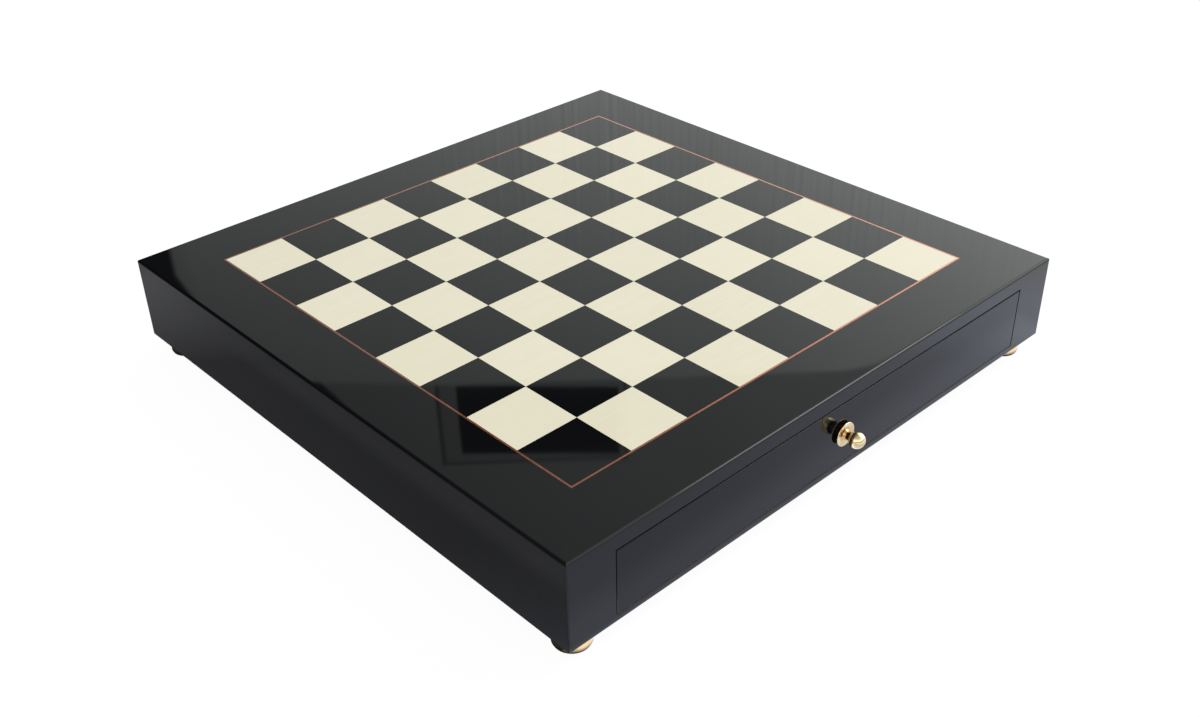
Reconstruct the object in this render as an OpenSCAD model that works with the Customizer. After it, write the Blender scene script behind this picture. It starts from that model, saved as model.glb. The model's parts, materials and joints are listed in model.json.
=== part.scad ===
// Chess box with drawers. A lacquered case stands on four turned brass feet, its veneered top
// is the chessboard, and a divided drawer slides out of the front and another out of the rear.
// Millimetres. The origin is at floor level under the middle of the case, +Z is up, and the
// front drawer faces -Y. Left and right of a drawer are as seen from in front of that drawer.

/* [Board] */
// Side of one square of the playing field
square_side = 50; // [40:1:60]
// Number of squares along each side of the field
field_squares = 8; // [8:2:12]
// Width of the coloured inlay line around the field
stringing_w = 1.5; // [0.8:0.1:4]
// Width of the plain border outside the inlay line
border_w = 48.5; // [30:0.5:80]
// Thickness of the veneers that make the playing surface
veneer_t = 0.8; // [0.5:0.1:3]
// Glue joint between neighbouring veneers
veneer_joint = 0.06; // [0.02:0.01:0.2]

/* [Case] */
// Thickness of the top panel that carries the veneers
top_panel_t = 11.2; // [6:0.1:25]
// Thickness of the bottom panel
bottom_panel_t = 5.5; // [4:0.5:12]
// Height of a drawer opening
opening_h = 50.5; // [40:0.5:100]
// Width of the plain stile at each side of a drawer opening
stile_w = 38; // [30:1:60]
// Thickness of the left and right walls
wall_t = 12; // [8:0.5:16]
// Depth of a corner post, measured from the face of the case
post_depth = 38; // [30:1:70]
// Thickness of the divider that separates the two drawers
divider_t = 8; // [4:0.5:16]
// Height of the strips that guide a drawer at its sides
guide_h = 14; // [8:1:25]
// Radius of the upper edges of the case
edge_r = 2; // [0.4:0.1:3]
// Radius of the upright and lower edges of the case
lower_edge_r = 1; // [0.2:0.1:3]

/* [Drawers] */
// Visible gap at each end of a closed drawer front
end_reveal = 0.8; // [0.5:0.1:2]
// Visible gap above a closed drawer front
upper_reveal = 1.4; // [0.5:0.1:2]
// Visible gap below a closed drawer front
lower_reveal = 0.5; // [0.3:0.1:2]
// Play between a drawer's sides and its guides
side_play = 0.4; // [0.3:0.1:1]
// Play between a drawer's sides and the panel that they run on
run_play = 0.3; // [0.3:0.1:1]
// Play between a drawer's sides and the top panel
top_play = 1.5; // [0.5:0.1:3]
// Play between a closed drawer and the divider that stops it
stop_play = 0.3; // [0.3:0.1:2]
// Thickness of a drawer front
face_t = 12; // [10:0.5:18]
// Radius of the edges of a drawer front
face_edge_r = 0.5; // [0.2:0.1:1.5]
// Thickness of the sides and back of a drawer
board_t = 8; // [7:0.5:12]
// Thickness of a drawer's bottom board
base_t = 3; // [2:0.5:5]
// Depth of the grooves that hold the bottom board
groove_depth = 4; // [2:0.5:5]
// Height of the grooves above the lower edges of the sides
groove_lift = 3; // [2:0.5:8]
// Play of the bottom board inside its grooves
groove_play = 0.1; // [0.05:0.05:0.3]
// Depth of the rebate that takes each end of a drawer's back
rebate_depth = 3; // [1:0.5:5]
// Diameter of the dowels between a drawer's front and its sides
dowel_d = 4; // [3:0.5:5]
// Length of a dowel
dowel_length = 16; // [10:1:18]
// Depth that a dowel reaches into the drawer front
dowel_in_face = 7; // [4:0.5:8]
// Distance of a dowel from the bottom board, and from the upper edge of the drawer
dowel_edge = 12; // [8:0.5:14]

/* [Compartments] */
// Compartments side by side in a drawer
columns = 8; // [2:1:10]
// Thickness of the felt on the bottom of a drawer
felt_t = 1; // [0.5:0.1:3]
// Thickness of the partitions
partition_t = 3; // [2:0.5:5]
// Height of the partitions
partition_h = 34; // [15:1:36]
// Play of a partition at its ends and in the slots where two cross
partition_play = 0.2; // [0.1:0.05:0.5]

/* [Knobs] */
// Diameter of the ball that the fingers hold
ball_d = 12; // [9:0.5:18]
// Distance of the ball's centre from the drawer front
ball_reach = 11.7; // [11:0.1:20]
// Diameter of the flange behind the ball
flange_d = 18; // [14:0.5:26]
// Thickness of the flange at its rim
flange_rim_t = 1; // [0.6:0.1:2]
// Depth of the hollow turned into the flange
flange_dish = 0.7; // [0.2:0.1:1]
// Diameter of the boss that seats on the drawer front
boss_d = 9; // [8:0.5:13]
// Height of the boss
boss_h = 1.9; // [1:0.1:3]
// Diameter of the neck between the flange and the ball
neck_d = 6; // [5.5:0.1:8]
// Diameter of the knob's screw
knob_screw_d = 4; // [3:0.5:4]
// Depth of the blind hole in the knob
knob_hole_depth = 8; // [5:0.5:9]

/* [Feet] */
// Largest diameter of a foot
foot_d = 26; // [20:0.5:32]
// Height of the brass part of a foot
foot_h = 12.6; // [9:0.1:20]
// Height of the cylindrical band at the bottom of a foot
foot_band_h = 3.6; // [2:0.1:4]
// Diameter of the neck under the case
foot_neck_d = 17; // [14:0.5:19]
// Height of the neck
foot_neck_h = 3; // [1:0.1:4]
// Radius of a foot's edges
foot_edge_r = 0.9; // [0.3:0.1:1.5]
// Distance of a foot's axis from the two nearest faces of the case
foot_inset = 18.5; // [16:0.5:22]
// Thickness of the felt pad under a foot
pad_t = 1.2; // [0.5:0.1:3]
// Width of brass left bare around a pad
pad_margin = 0.7; // [0.3:0.1:3]
// Diameter of a foot's screw
foot_screw_d = 4; // [3:0.5:5]
// Length of a foot's screw that holds in the corner post
foot_screw_grip = 14; // [8:1:25]

/* [Screws] */
// Diameter of a screw head as a multiple of its screw
head_ratio = 2; // [1.7:0.05:2.1]
// Height of a screw head
head_h = 2.6; // [1.5:0.1:3]
// Radial play of a screw or a dowel in its hole
hole_play = 0.05; // [0.02:0.01:0.2]
// Radial play of a screw head in its counterbore
head_play = 0.5; // [0.2:0.1:1]

/* [Hidden] */
// Facets of a full turn, and of the quarter arcs that round an edge or a turned profile
$fn = 96;
arc_steps = 6;
// Length by which a cutter or an uncut blank passes the face that it crosses
spill = 1;

// Case, from the floor upwards
field_side = field_squares * square_side;
stringing_half = field_side / 2 + stringing_w;
case_half = stringing_half + border_w;
case_bottom = pad_t + foot_h;
opening_bottom = case_bottom + bottom_panel_t;
opening_top = opening_bottom + opening_h;
veneer_bottom = opening_top + top_panel_t;
case_top = veneer_bottom + veneer_t;
opening_half = case_half - stile_w;
inner_half = case_half - wall_t;
foot_place = case_half - foot_inset;

// Front drawer, which faces -Y
face_half = opening_half - end_reveal;
face_bottom = opening_bottom + lower_reveal;
face_top = opening_top - upper_reveal;
face_rear = -case_half + face_t;
box_bottom = opening_bottom + run_play;
box_top = opening_top - top_play;
box_rear = -divider_t / 2 - stop_play;
base_bottom = box_bottom + groove_lift;
base_top = base_bottom + base_t;
groove_h = base_t + 2 * groove_play;
hold_half = face_half - board_t;
hold_rear = box_rear - board_t;
hold_bottom = base_top + felt_t;
dowel_heights = [base_top + dowel_edge, box_top - dowel_edge];

// Compartments of the front drawer
partition_top = hold_bottom + partition_h;
partition_middle = hold_bottom + partition_h / 2;
hold_middle = (face_rear + hold_rear) / 2;
column_pitch = (2 * hold_half + partition_t) / columns;
slot_w = partition_t + 2 * partition_play;

// Knob of the front drawer, along its axis from the drawer front outwards
knob_height = (opening_bottom + opening_top) / 2;
rim_front = boss_h + flange_rim_t;
dish_r = (flange_d / 2 + neck_d / 2) / 2;
neck_start = rim_front + neck_d / 4;
knob_bore_r = knob_screw_d / 2 + hole_play;
knob_head_r = head_ratio * knob_screw_d / 2;
counterbore_depth = head_h + head_play;
counterbore_floor = face_rear - counterbore_depth;
knob_screw_tip = -case_half - knob_hole_depth + head_play;

// Foot
foot_bore_r = foot_screw_d / 2 + hole_play;
foot_head_r = head_ratio * foot_screw_d / 2;
foot_counterbore_top = pad_t + counterbore_depth;
foot_screw_top = opening_bottom + foot_screw_grip;

// Name, X direction and Y direction of each corner
CORNERS = [["front_left", -1, -1], ["front_right", 1, -1], ["rear_right", 1, 1], ["rear_left", -1, 1]];
// Name of each side of the board, and its turn from the front side
SIDES = [["front", 0], ["right", 90], ["rear", 180], ["left", 270]];
// Sides that hold a drawer
DRAWERS = [SIDES[0], SIDES[2]];

// Colours
lacquer = "#141416";
ivory = "#E9E4CC";
copper = "#B5734B";
brass = "#D9BE7A";
birch = "#D8BE94";
felt = "#1F4D35";
pad_felt = "#26221E";
steel = "#A9ABAF";
beech = "#C99F6B";

// Quarter arc around a centre, counter-clockwise from the given angle
function quarter(centre, r, start) = [
    for (i = [0:arc_steps]) centre + r * [cos(start + 90 * i / arc_steps), sin(start + 90 * i / arc_steps)]
];

// Rectangle about the origin with one radius at its two upper corners and another at its lower ones
function rounded_rectangle(size, upper_r, r) = concat(
    quarter([size[0] / 2 - upper_r, size[1] / 2 - upper_r], upper_r, 0),
    quarter([upper_r - size[0] / 2, size[1] / 2 - upper_r], upper_r, 90),
    quarter([r - size[0] / 2, r - size[1] / 2], r, 180),
    quarter([size[0] / 2 - r, r - size[1] / 2], r, 270)
);

// Box from its lowest to its highest corner
module block(low, high) {
    translate(low) cube(high - low);
}

// Box from its lowest to its highest corner, with one radius on its upper edges and another on the rest
module rounded_block(low, high, upper_r, r) {
    size = high - low;
    translate((low + high) / 2) intersection() {
        linear_extrude(size[2], center = true) polygon(rounded_rectangle([size[0], size[1]], r, r));
        rotate([90, 0, 0]) linear_extrude(size[1], center = true)
            polygon(rounded_rectangle([size[0], size[2]], upper_r, r));
        rotate([90, 0, 90]) linear_extrude(size[0], center = true)
            polygon(rounded_rectangle([size[1], size[2]], upper_r, r));
    }
}

// Cuts the child to the rounded outside of the case
module within_case() {
    intersection() {
        children();
        rounded_block([-case_half, -case_half, case_bottom], [case_half, case_half, case_top],
                      edge_r, lower_edge_r);
    }
}

// Cylinder along -Y from one Y to a lower one, at the height of the knob
module knob_axis_cylinder(r, from_y, to_y) {
    translate([0, from_y, knob_height]) rotate([90, 0, 0]) cylinder(r = r, h = from_y - to_y);
}

// Holes for the screws of all four feet
module foot_screw_holes() {
    for (c = CORNERS)
        translate([c[1] * foot_place, c[2] * foot_place, case_bottom - spill])
            cylinder(r = foot_bore_r, h = foot_screw_top - case_bottom + spill + hole_play);
}

// ---- Case ----

module bottom_panel() {
    outer = case_half + spill;
    color(lacquer) difference() {
        within_case()
            block([-outer, -outer, case_bottom - spill], [outer, outer, opening_bottom]);
        foot_screw_holes();
    }
}

// Wall on the left (-1) or on the right (1)
module wall(side) {
    outer = side * (case_half + spill);
    inner = side * inner_half;
    color(lacquer) difference() {
        within_case() block([min(outer, inner), -case_half - spill, opening_bottom],
                            [max(outer, inner), case_half + spill, opening_top]);
        foot_screw_holes();
    }
}

// Block that fills a corner behind the stile and takes the foot's screw
module post(c) {
    x = [c[1] * opening_half, c[1] * inner_half];
    y = [c[2] * (case_half - post_depth), c[2] * (case_half + spill)];
    color(lacquer) difference() {
        within_case() block([min(x), min(y), opening_bottom], [max(x), max(y), opening_top]);
        foot_screw_holes();
    }
}

module centre_divider() {
    color(birch) block([-inner_half, -divider_t / 2, opening_bottom],
                       [inner_half, divider_t / 2, opening_top]);
}

// Strip beside a drawer, from the corner post to the divider
module guide(c) {
    x = [c[1] * (face_half + side_play), c[1] * inner_half];
    y = [c[2] * divider_t / 2, c[2] * (case_half - post_depth)];
    color(beech) block([min(x), min(y), opening_bottom], [max(x), max(y), opening_bottom + guide_h]);
}

module top_panel() {
    outer = case_half + spill;
    color(lacquer) within_case()
        block([-outer, -outer, opening_top], [outer, outer, veneer_bottom]);
}

// ---- Board ----

// Strip of veneer along the front side, mitred at both ends
module mitred_strip(inner, outer) {
    mitre_gap = veneer_joint / sqrt(2);
    translate([0, 0, veneer_bottom]) linear_extrude(veneer_t) polygon([
        [mitre_gap - inner, -inner], [mitre_gap - outer, -outer],
        [outer - mitre_gap, -outer], [inner - mitre_gap, -inner]
    ]);
}

module stringing(s) {
    color(copper) rotate([0, 0, s[1]])
        mitred_strip(field_side / 2 + veneer_joint / 2, stringing_half - veneer_joint / 2);
}

module border(s) {
    color(lacquer) within_case() rotate([0, 0, s[1]])
        mitred_strip(stringing_half + veneer_joint / 2, case_half + spill);
}

// Every second square of the field: odd ones hold the corner at the right of the front player
module checker(odd) {
    side = square_side - veneer_joint;
    corner = (veneer_joint - field_side) / 2;
    for (column = [0:field_squares - 1], row = [0:field_squares - 1])
        if ((column + row) % 2 == odd)
            translate([corner + column * square_side, corner + row * square_side, veneer_bottom])
                cube([side, side, veneer_t]);
}

module light_squares() {
    color(ivory) checker(1);
}

module dark_squares() {
    color(lacquer) checker(0);
}

// ---- Feet ----

// Turned brass foot: a rounded band at the bottom, a shoulder, and a neck under the case
module foot(c) {
    shoulder_top = foot_h - foot_neck_h;
    shoulder_w = foot_d / 2 - foot_neck_d / 2;
    shoulder_h = shoulder_top - foot_band_h;
    shoulder = [for (i = [0:arc_steps]) [
        foot_neck_d / 2 + shoulder_w * cos(90 * i / arc_steps),
        foot_band_h + shoulder_h * sin(90 * i / arc_steps)
    ]];
    profile = concat(
        [[0, 0]], quarter([foot_d / 2 - foot_edge_r, foot_edge_r], foot_edge_r, 270),
        shoulder, [[foot_neck_d / 2, foot_h], [0, foot_h]]
    );
    color(brass) translate([c[1] * foot_place, c[2] * foot_place, 0]) difference() {
        translate([0, 0, pad_t]) rotate_extrude() polygon(profile);
        translate([0, 0, -spill]) cylinder(r = foot_bore_r, h = case_bottom + 2 * spill);
        translate([0, 0, -spill])
            cylinder(r = foot_head_r + head_play, h = foot_counterbore_top + spill);
    }
}

module foot_pad(c) {
    color(pad_felt) translate([c[1] * foot_place, c[2] * foot_place, 0])
        cylinder(r = foot_d / 2 - pad_margin, h = pad_t);
}

module foot_screws() {
    color(steel) for (c = CORNERS) translate([c[1] * foot_place, c[2] * foot_place, 0]) {
        translate([0, 0, foot_counterbore_top - head_h]) cylinder(r = foot_head_r, h = head_h);
        translate([0, 0, foot_counterbore_top - head_h])
            cylinder(r = foot_screw_d / 2, h = foot_screw_top - foot_counterbore_top + head_h);
    }
}

// ---- Drawers, all drawn for the front one ----

// Dowels of a drawer, or the holes for them, which are wider and longer by the play
module dowel_pattern(play) {
    for (side = [-1, 1], height = dowel_heights)
        translate([side * (face_half - board_t / 2), face_rear - dowel_in_face - play, height])
            rotate([-90, 0, 0]) cylinder(d = dowel_d + 2 * play, h = dowel_length + 2 * play);
}

// Slot that takes the bottom board, in the front and in both sides
module base_groove() {
    reach = hold_half + groove_depth;
    block([-reach, face_rear - groove_depth, base_bottom - groove_play],
          [reach, box_rear + spill, base_bottom - groove_play + groove_h]);
}

module drawer_face() {
    color(lacquer) difference() {
        rounded_block([-face_half, -case_half, face_bottom], [face_half, face_rear, face_top],
                      face_edge_r, face_edge_r);
        base_groove();
        dowel_pattern(hole_play);
        knob_axis_cylinder(knob_bore_r, face_rear + spill, -case_half - spill);
        knob_axis_cylinder(knob_head_r + head_play, face_rear + spill, counterbore_floor);
    }
}

// Side board of a drawer, on the left (-1) or on the right (1)
module drawer_side(side) {
    x = [side * face_half, side * hold_half];
    rebate_x = [side * (hold_half + rebate_depth), side * (hold_half - spill)];
    color(birch) difference() {
        block([min(x), face_rear, box_bottom], [max(x), box_rear, box_top]);
        base_groove();
        block([min(rebate_x), hold_rear, base_top], [max(rebate_x), box_rear + spill, box_top + spill]);
        dowel_pattern(hole_play);
    }
}

module drawer_back() {
    reach = hold_half + rebate_depth;
    color(birch) block([-reach, hold_rear, base_top], [reach, box_rear, box_top]);
}

module drawer_bottom() {
    reach = hold_half + groove_depth - groove_play;
    color(birch) block([-reach, face_rear - groove_depth + groove_play, base_bottom],
                       [reach, box_rear, base_top]);
}

module drawer_lining() {
    reach = hold_half - partition_play;
    color(felt) block([-reach, face_rear + partition_play, base_top],
                      [reach, hold_rear - partition_play, hold_bottom]);
}

module drawer_dowels() {
    color(beech) dowel_pattern(0);
}

// Middle line of the partition after the given column
function partition_x(column) = column * column_pitch - hold_half - partition_t / 2;

// Partition along the width, slotted from above where the cross partitions pass
module drawer_long_partition() {
    reach = hold_half - partition_play;
    color(birch) difference() {
        block([-reach, hold_middle - partition_t / 2, hold_bottom],
              [reach, hold_middle + partition_t / 2, partition_top]);
        for (column = [1:columns - 1])
            block([partition_x(column) - slot_w / 2, hold_middle - partition_t, partition_middle],
                  [partition_x(column) + slot_w / 2, hold_middle + partition_t, partition_top + spill]);
    }
}

// Partitions along the depth, slotted from below where they straddle the long one
module drawer_cross_partitions() {
    color(birch) for (column = [1:columns - 1]) difference() {
        block([partition_x(column) - partition_t / 2, face_rear + partition_play, hold_bottom],
              [partition_x(column) + partition_t / 2, hold_rear - partition_play, partition_top]);
        block([partition_x(column) - partition_t, hold_middle - slot_w / 2, hold_bottom - spill],
              [partition_x(column) + partition_t, hold_middle + slot_w / 2,
               partition_middle + partition_play]);
    }
}

// Turned brass knob: boss, dished flange, waisted neck and ball
module knob() {
    rim_r = flange_rim_t / 2;
    profile = concat(
        [[0, 0], [boss_d / 2, 0], [boss_d / 2, boss_h], [flange_d / 2 - rim_r, boss_h]],
        quarter([flange_d / 2 - rim_r, boss_h + rim_r], rim_r, 270),
        quarter([flange_d / 2 - rim_r, boss_h + rim_r], rim_r, 0),
        [[dish_r, rim_front - flange_dish], [neck_d / 2 + flange_rim_t, rim_front - flange_dish / 2]],
        [[neck_d / 2, neck_start], [neck_d / 2, ball_reach], [0, ball_reach]]
    );
    color(brass) translate([0, -case_half, knob_height]) rotate([90, 0, 0]) difference() {
        union() {
            rotate_extrude() polygon(profile);
            translate([0, 0, ball_reach]) sphere(d = ball_d);
        }
        translate([0, 0, -spill]) cylinder(r = knob_bore_r, h = knob_hole_depth + spill);
    }
}

module knob_screw() {
    head_front = counterbore_floor + head_h;
    color(steel) {
        knob_axis_cylinder(knob_head_r, head_front, counterbore_floor);
        knob_axis_cylinder(knob_screw_d / 2, head_front, knob_screw_tip);
    }
}

// ---- Assembly ----

bottom_panel();
wall(-1);  // left_wall
wall(1);  // right_wall
centre_divider();
top_panel();
light_squares();
dark_squares();
foot_screws();

for (c = CORNERS) {
    post(c);
    guide(c);
    foot(c);
    foot_pad(c);
}

for (s = SIDES) {
    border(s);
    stringing(s);
}

for (d = DRAWERS) rotate([0, 0, d[1]]) {
    drawer_face();
    drawer_side(-1);
    drawer_side(1);
    drawer_back();
    drawer_bottom();
    drawer_lining();
    drawer_long_partition();
    drawer_cross_partitions();
    drawer_dowels();
    knob();
    knob_screw();
}
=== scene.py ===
# Looks of a chess box with drawers: black lacquered case, ivory and black veneered board, brass knobs and
# feet, and birch plywood drawers lined with green felt. Metres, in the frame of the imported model.
import json
import math

import bpy
from mathutils import Matrix, Vector, noise


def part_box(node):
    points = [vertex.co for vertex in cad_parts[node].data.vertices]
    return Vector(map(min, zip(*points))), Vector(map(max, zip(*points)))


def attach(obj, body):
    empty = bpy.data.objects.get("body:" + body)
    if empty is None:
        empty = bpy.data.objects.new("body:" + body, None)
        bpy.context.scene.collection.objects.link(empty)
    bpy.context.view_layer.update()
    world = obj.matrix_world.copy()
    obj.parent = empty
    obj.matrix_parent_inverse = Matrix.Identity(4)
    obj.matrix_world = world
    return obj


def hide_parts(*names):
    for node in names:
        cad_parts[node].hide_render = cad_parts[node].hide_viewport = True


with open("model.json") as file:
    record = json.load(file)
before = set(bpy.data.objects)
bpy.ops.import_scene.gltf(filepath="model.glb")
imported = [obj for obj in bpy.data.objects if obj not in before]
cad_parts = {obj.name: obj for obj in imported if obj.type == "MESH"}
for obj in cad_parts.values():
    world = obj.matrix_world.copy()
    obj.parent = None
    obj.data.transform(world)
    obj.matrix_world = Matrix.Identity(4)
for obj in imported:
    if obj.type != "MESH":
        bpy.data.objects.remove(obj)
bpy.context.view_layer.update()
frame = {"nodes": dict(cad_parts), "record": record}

MM = 0.001
X, Y, Z = 0, 1, 2

# ---- Sizes read from the frame ----

DRAWERS = ("front", "rear")
CORNERS = ("front_left", "front_right", "rear_right", "rear_left")
SIDES = ("front", "right", "rear", "left")

case_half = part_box("bottom_panel")[1].x
case_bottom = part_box("bottom_panel")[0].z
sill_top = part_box("bottom_panel")[1].z
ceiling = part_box("top_panel")[0].z
board_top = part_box("dark_squares")[1].z
FIELD_SQUARES = 8
square_side = (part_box("light_squares")[1].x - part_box("left_stringing")[1].x) / FIELD_SQUARES
foot_place = (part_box("front_right_foot")[0].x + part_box("front_right_foot")[1].x) / 2
knob_height = (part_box("front_knob")[0].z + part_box("front_knob")[1].z) / 2
partition_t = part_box("front_drawer_long_partition")[1].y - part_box("front_drawer_long_partition")[0].y
partitions_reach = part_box("front_drawer_cross_partitions")[1].x - partition_t / 2
CROSS_PARTITIONS = 7
partition_pitch = 2 * partitions_reach / (CROSS_PARTITIONS - 1)


# ---- Camera ----

CAMERA_PLACE = Vector((-0.6142, -0.6749, board_top + 0.4951))
CAMERA_HEADING = math.radians(42.77)  # from +Y towards +X
CAMERA_DOWN = math.radians(32.75)
CAMERA_ROLL = math.radians(-1.18)
CAMERA_LENS = 40.15  # in millimetres, as is the sensor's width
SENSOR_WIDTH = 36


def add_camera():
    data = bpy.data.cameras.new("camera")
    data.sensor_width = SENSOR_WIDTH
    data.lens = CAMERA_LENS
    camera = bpy.data.objects.new("camera", data)
    bpy.context.scene.collection.objects.link(camera)
    camera.matrix_world = (
        Matrix.Translation(CAMERA_PLACE)
        @ Matrix.Rotation(-CAMERA_HEADING, 4, "Z")
        @ Matrix.Rotation(math.pi / 2 - CAMERA_DOWN, 4, "X")
        @ Matrix.Rotation(CAMERA_ROLL, 4, "Z")
    )
    bpy.context.scene.camera = camera


# ---- Short calls for shader nodes ----

MIX_SHARE, MIX_FIRST, MIX_SECOND = 0, 6, 7  # the Mix node's sockets for colours
MIX_RESULT = 2
NOISE_SPAN = (0.3, 0.7)  # values between which nearly all of a noise lies


class Shader:
    """The nodes of one material or world, with a short call for each kind that this scene uses."""

    def __init__(self, tree):
        self.tree = tree
        tree.nodes.clear()

    def add(self, kind, inputs=(), **settings):
        node = self.tree.nodes.new("ShaderNode" + kind)
        for name, value in settings.items():
            setattr(node, name, value)
        for name, value in dict(inputs).items():
            self.put(node.inputs[name], value)
        return node

    def put(self, socket, value):
        """Links an output to the socket, or sets the socket to a constant."""
        if isinstance(value, bpy.types.NodeSocket):
            self.tree.links.new(value, socket)
        else:
            socket.default_value = value

    def math(self, operation, *values, clamp=False):
        inputs = dict(enumerate(values))
        return self.add("Math", inputs, operation=operation, use_clamp=clamp).outputs[0]

    def vector(self, operation, *values):
        inputs = dict(enumerate(values))
        return self.add("VectorMath", inputs, operation=operation).outputs[0]

    def place(self):
        """Place on the object, in the frame's metres."""
        return self.add("TexCoord").outputs["Object"]

    def parts(self, vector):
        return self.add("SeparateXYZ", {0: vector}).outputs

    def join(self, x, y, z):
        return self.add("CombineXYZ", {0: x, 1: y, 2: z}).outputs[0]

    def stretch(self, vector, scale):
        return self.add("Mapping", {"Vector": vector, "Scale": scale}).outputs[0]

    def noise(self, vector, scale, detail=3.0, roughness=0.5):
        inputs = {"Vector": vector, "Scale": scale, "Detail": detail, "Roughness": roughness}
        return self.add("TexNoise", inputs).outputs[0]

    def span(self, value, low, high, to_low=0.0, to_high=1.0, smooth=False):
        """Maps low..high to to_low..to_high and holds it there beyond."""
        inputs = {"Value": value, "From Min": low, "From Max": high, "To Min": to_low, "To Max": to_high}
        kind = "SMOOTHSTEP" if smooth else "LINEAR"
        return self.add("MapRange", inputs, interpolation_type=kind).outputs[0]

    def step(self, value, edge, blur):
        """0 below the edge and 1 above it."""
        return self.span(value, edge - blur, edge + blur, smooth=True)

    def between(self, value, low, high, blur):
        """1 between the two edges and 0 outside them."""
        return self.math("SUBTRACT", self.step(value, low, blur), self.step(value, high, blur))

    def blend(self, share, first, second):
        """Number between first and second."""
        return self.span(share, 0.0, 1.0, first, second)

    def mix(self, share, first, second):
        """Colour between first and second."""
        node = self.add("Mix", data_type="RGBA")
        self.put(node.inputs[MIX_SHARE], share)
        self.put(node.inputs[MIX_FIRST], first)
        self.put(node.inputs[MIX_SECOND], second)
        return node.outputs[MIX_RESULT]

    def length(self, x, y):
        """Length of the vector (x, y)."""
        squares = self.math("ADD", self.math("MULTIPLY", x, x), self.math("MULTIPLY", y, y))
        return self.math("SQRT", squares)

    def ramp(self, value, low, high, stops, limit):
        """Tone by a value from low to high, through (value, tone) stops of which none is over the limit."""
        node = self.add("ValToRGB", {0: self.span(value, low, high)})
        elements = node.color_ramp.elements
        while len(elements) < len(stops):
            elements.new(1.0)
        for element, (at, tone) in zip(elements, stops):
            element.position = (at - low) / (high - low)
            share = tone / limit
            element.color = (share, share, share, 1.0)
        return self.math("MULTIPLY", node.outputs[0], limit)

    def bump(self, height, distance, normal=None):
        inputs = {"Height": height, "Distance": distance, "Strength": 1.0}
        if normal is not None:
            inputs["Normal"] = normal
        return self.add("Bump", inputs).outputs[0]


def new_material(name):
    material = bpy.data.materials.new(name)
    material.use_nodes = True
    shader = Shader(material.node_tree)
    surface = shader.add("BsdfPrincipled")
    output = shader.add("OutputMaterial")
    shader.put(output.inputs["Surface"], surface.outputs[0])
    return material, shader, surface.inputs


def rgb(red, green, blue):
    return (red, green, blue, 1.0)


# ---- Lacquer and veneer ----

LACQUER_IOR = 1.4
FLOW_WAVE = 0.03 * MM  # heights of the lacquer's waves
ORANGE_PEEL = 0.0005 * MM
SATIN_START = 4.5 * MM  # the case's inside, that far behind its outer faces, is only satin
SATIN_ROUGHNESS = 0.38
SATIN_BLACK = rgb(0.012, 0.012, 0.013)
DRAWER_SATIN_START = 0.3 * MM
CASE_GLOSS = 0.5
DRAWER_GLOSS = 0.41  # specular level of the drawer fronts, which shine a little less than the case
SILL_START = 0.2 * MM
SILL_ROUGHNESS = 0.6
STAINED_WOOD = (rgb(0.15, 0.095, 0.055), rgb(0.24, 0.155, 0.09))
MITRE_HALF = 0.12 * MM
MITRE_GREY = rgb(0.035, 0.035, 0.036)
SAME = 0.1 * MM  # faces less than that apart are taken as one


def outer_reach(shader, place):
    """Distance from the middle of the case to the side of its nearest wall."""
    x, y, z = shader.parts(place)
    return shader.math("MAXIMUM", shader.math("ABSOLUTE", x), shader.math("ABSOLUTE", y))


def lacquer_normal(shader, place):
    """Polished lacquer's long flow wave and fine orange peel."""
    flow = shader.noise(place, 14.0, 1.0)
    peel = shader.noise(place, 420.0, 1.0)
    return shader.bump(peel, ORANGE_PEEL, shader.bump(flow, FLOW_WAVE))


def lacquer_roughness(shader, place):
    """Polishing haze with a few hairlines."""
    haze = shader.noise(place, 9.0, 4.0, 0.6)
    hairlines = shader.noise(shader.stretch(place, (900.0, 60.0, 900.0)), 1.0, 2.0)
    return shader.math(
        "ADD",
        shader.span(haze, *NOISE_SPAN, 0.016, 0.03),
        shader.span(hairlines, 0.66, 0.8, 0.0, 0.02),
    )


def satin_share(shader, place, start):
    """1 inside the case and on its underside, where the lacquer isn't polished."""
    z = shader.parts(place)[Z]
    inside = shader.math(
        "MULTIPLY",
        shader.math("LESS_THAN", outer_reach(shader, place), case_half - start),
        shader.math("LESS_THAN", z, ceiling + SAME),
    )
    underside = shader.math("LESS_THAN", z, case_bottom + SAME)
    return shader.math("MAXIMUM", inside, underside)


def sill_share(shader, place):
    """1 on the bottom panel's upper face, which is stained wood without lacquer."""
    off = shader.math("ABSOLUTE", shader.math("SUBTRACT", shader.parts(place)[Z], sill_top))
    behind = shader.math("LESS_THAN", outer_reach(shader, place), case_half - SILL_START)
    return shader.math("MULTIPLY", shader.math("LESS_THAN", off, SAME), behind)


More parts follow.
